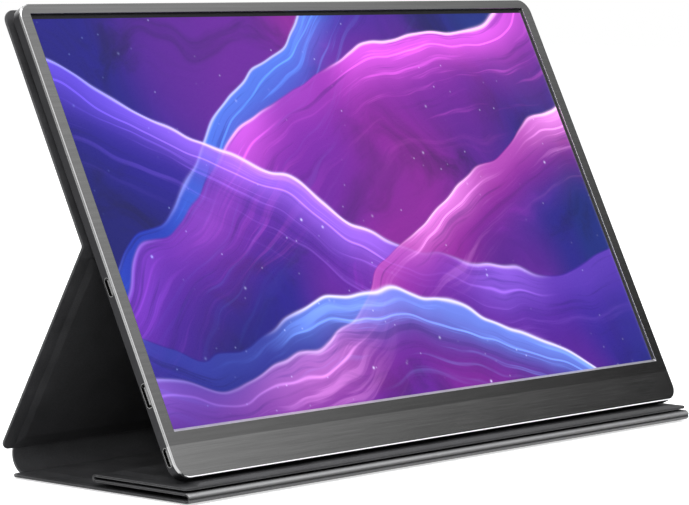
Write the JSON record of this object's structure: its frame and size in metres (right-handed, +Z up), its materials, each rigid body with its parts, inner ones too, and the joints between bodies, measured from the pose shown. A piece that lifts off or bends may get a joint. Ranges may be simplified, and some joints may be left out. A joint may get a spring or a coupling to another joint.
{
  "type": "portable monitor with folding cover",
  "caption": "Slim portable flat-screen monitor leaning in its folding leather folio cover, which props the back with a leg and holds the lower edge on folded flaps.",
  "frame": {"origin": "On the table, at the middle of the object's width and of its whole depth", "axes": "X runs along the monitor's width to the viewer's right, Y away from the viewer, from the front fold to the cover's spine, and Z up from the table"},
  "size_m": [0.3604, 0.1182, 0.2087],
  "materials": {
    "frame_metal": "dark grey anodised, finely brushed along its length, with a bright polished chamfer",
    "case_metal": "dark grey anodised, fine bead blast",
    "tape_black": "black foam tape",
    "screen": "satin anti-glare polariser over a lit picture in blue, violet and magenta",
    "film_white": "white satin film",
    "clear_plate": "clear acrylic with fine dots",
    "lamp_yellow": "phosphor coated lamps",
    "tray_steel": "zinc coated sheet steel",
    "flex_amber": "amber polyimide film with copper tracks",
    "board_green": "green solder mask",
    "ribbon_white": "flat ribbon with fine conductors",
    "chip_black": "moulded black resin",
    "spreader_metal": "plain rolled sheet",
    "port_steel": "bright nickel plated",
    "socket_black": "moulded black nylon",
    "screw_steel": "bright zinc",
    "screw_black": "blackened steel",
    "button_metal": "dark grey anodised, satin",
    "magnet_nickel": "nickel plated magnet",
    "cover_leather": "black synthetic leather with a fine grain",
    "fibre_board": "pressed fibre board",
    "cover_lining": "dark grey smooth synthetic leather, slightly satin"
  },
  "bodies": {
    "base": {"base_skin": "cover_leather", "base_stiffener": "fibre_board", "base_lining": "cover_lining", "front_fold_strip": "cover_leather"},
    "spine": {"spine_strip": "cover_leather"},
    "leg": {"leg_skin": "cover_leather", "leg_stiffener": "fibre_board", "leg_lining": "cover_lining", "mid_fold_strip": "cover_leather"},
    "upper_leaf": {"upper_skin": "cover_leather", "upper_stiffener": "fibre_board", "upper_lining": "cover_lining", "cover_magnets": "magnet_nickel"},
    "monitor": {"front_bezel": "frame_metal", "rear_housing": "case_metal", "panel_tape": "tape_black", "lcd_cell": "screen", "optical_films": "film_white", "light_guide": "clear_plate", "reflector_sheet": "film_white", "led_strip": "lamp_yellow", "panel_tray": "tray_steel", "driver_films": "flex_amber", "driver_board": "board_green", "panel_ribbon": "ribbon_white", "main_board": "board_green", "main_chips": "chip_black", "heat_spreader": "spreader_metal", "usb_port_upper": "port_steel", "usb_port_lower": "port_steel", "video_port": "port_steel", "audio_socket": "socket_black", "button_board": "board_green", "button_switches": "chip_black", "rocker_bracket": "socket_black", "speaker_left": "chip_black", "speaker_right": "chip_black", "grip_plate": "tray_steel", "board_screws": "screw_steel", "case_screws": "screw_black"},
    "front_flap": {"front_flap_skin": "cover_leather", "front_flap_stiffener": "fibre_board", "front_flap_lining": "cover_lining", "rear_fold_strip": "cover_leather"},
    "rear_flap": {"rear_flap_skin": "cover_leather", "rear_flap_stiffener": "fibre_board", "rear_flap_lining": "cover_lining"},
    "power_button": {"power_button": "button_metal"},
    "menu_rocker": {"menu_rocker": "button_metal"}
  },
  "joints": [
    {"name": "spine_base_fold", "type": "hinge", "parent": "base", "child": "spine", "pos_m": [0, 0.05276, 0], "axis": [-1, 0, 0], "range_deg": [0, 61.36]},
    {"name": "spine_leg_fold", "type": "hinge", "parent": "spine", "child": "leg", "pos_m": [0, 0.05886, 0.01117], "axis": [-1, 0, 0], "range_deg": [0, 57.96]},
    {"name": "mid_back_fold", "type": "hinge", "parent": "leg", "child": "upper_leaf", "pos_m": [0, 0.00616, 0.10509], "axis": [1, 0, 0], "range_deg": [0, 56.02], "deforming": ["mid_fold_strip"]},
    {"name": "monitor_lift_off", "type": "slide", "parent": "upper_leaf", "child": "monitor", "axis": [0, 0, 1], "range_m": [0, 0.2]},
    {"name": "front_fold", "type": "hinge", "parent": "base", "child": "front_flap", "pos_m": [0, -0.05685, 0.0023], "axis": [1, 0, 0], "range_deg": [0, 180], "deforming": ["front_fold_strip"]},
    {"name": "rear_flap_fold", "type": "hinge", "parent": "front_flap", "child": "rear_flap", "pos_m": [0, -0.00185, 0.0051], "axis": [-1, 0, 0], "range_deg": [0, 180], "deforming": ["rear_fold_strip"]},
    {"name": "power_button_press", "type": "slide", "parent": "monitor", "child": "power_button", "axis": [-1, 0, 0], "range_m": [0, 0.0005], "stiffness_N_per_m": 1500},
    {"name": "menu_rocker_tilt", "type": "hinge", "parent": "monitor", "child": "menu_rocker", "pos_m": [0.17755, -0.02211, 0.06424], "axis": [0, 0.8934, -0.4493], "range_deg": [-3, 3], "stiffness_Nm_per_rad": 0.2}
  ],
  "couplings": [
    {"joint": "spine_leg_fold", "follows": "spine_base_fold", "ratio": 0.94425},
    {"joint": "mid_back_fold", "follows": "spine_base_fold", "ratio": 0.91265},
    {"joint": "front_fold", "follows": "monitor_lift_off", "rad_per_m": 15.7},
    {"joint": "rear_flap_fold", "follows": "monitor_lift_off", "rad_per_m": 15.7}
  ]
}
